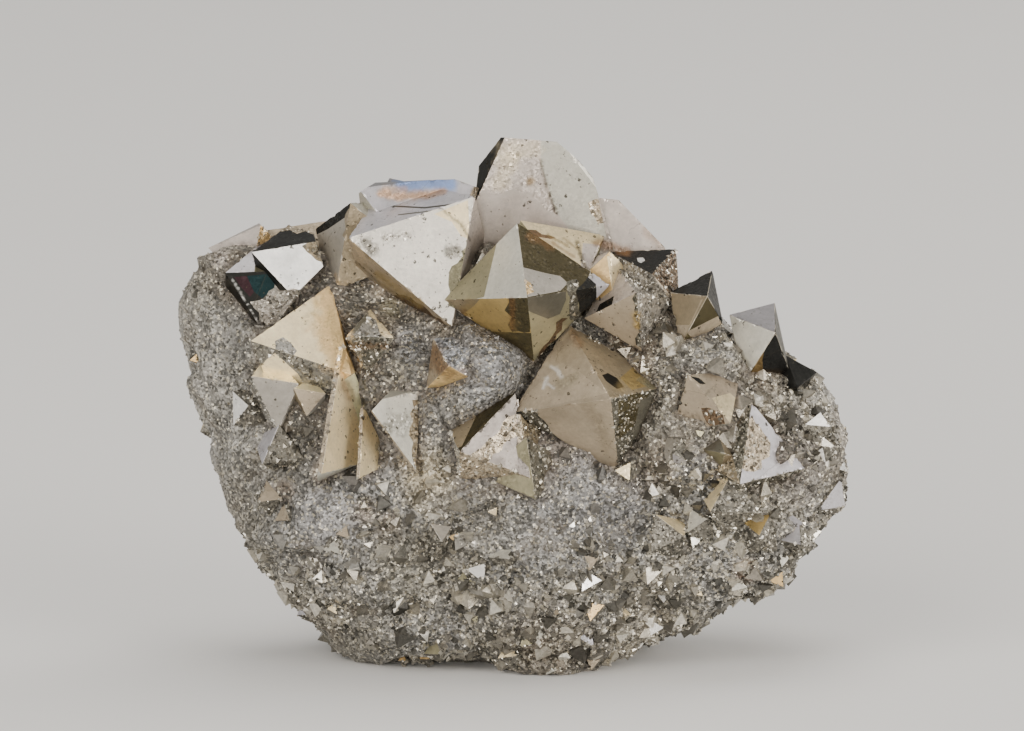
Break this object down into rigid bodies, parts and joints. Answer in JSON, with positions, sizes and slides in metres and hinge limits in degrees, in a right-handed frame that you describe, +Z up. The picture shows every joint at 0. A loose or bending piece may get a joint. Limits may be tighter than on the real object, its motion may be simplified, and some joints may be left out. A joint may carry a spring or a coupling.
{
  "type": "pyrite specimen",
  "caption": "Pyrite specimen: intergrown octahedral crystals with a tall crown, set in a rounded block of granular druse-covered matrix that stands on a flat worn base.",
  "frame": {"origin": "on the surface it stands on, under the middle of its bounding box", "axes": "+X to the viewer's right along the specimen's width, +Y away from the viewer of the show side, +Z up"},
  "size_m": [0.0892, 0.049, 0.0704],
  "materials": {
    "crystal": "smooth pale brass-yellow to grey metallic crystal faces, part tarnished",
    "matrix": "rough grey granular matrix with fine glittering metallic grains"
  },
  "bodies": {
    "root": {"crown_crystals": "crystal", "front_crystal": "crystal", "gable_crystal": "crystal", "ridge_crystal": "crystal", "wing_crystal": "crystal", "slope_crystals": "crystal", "left_crystals": "crystal", "brown_crystal": "crystal", "amber_crystal": "crystal", "pale_crystal": "crystal", "wedge_crystals": "crystal", "matrix": "matrix"}
  },
  "joints": []
}
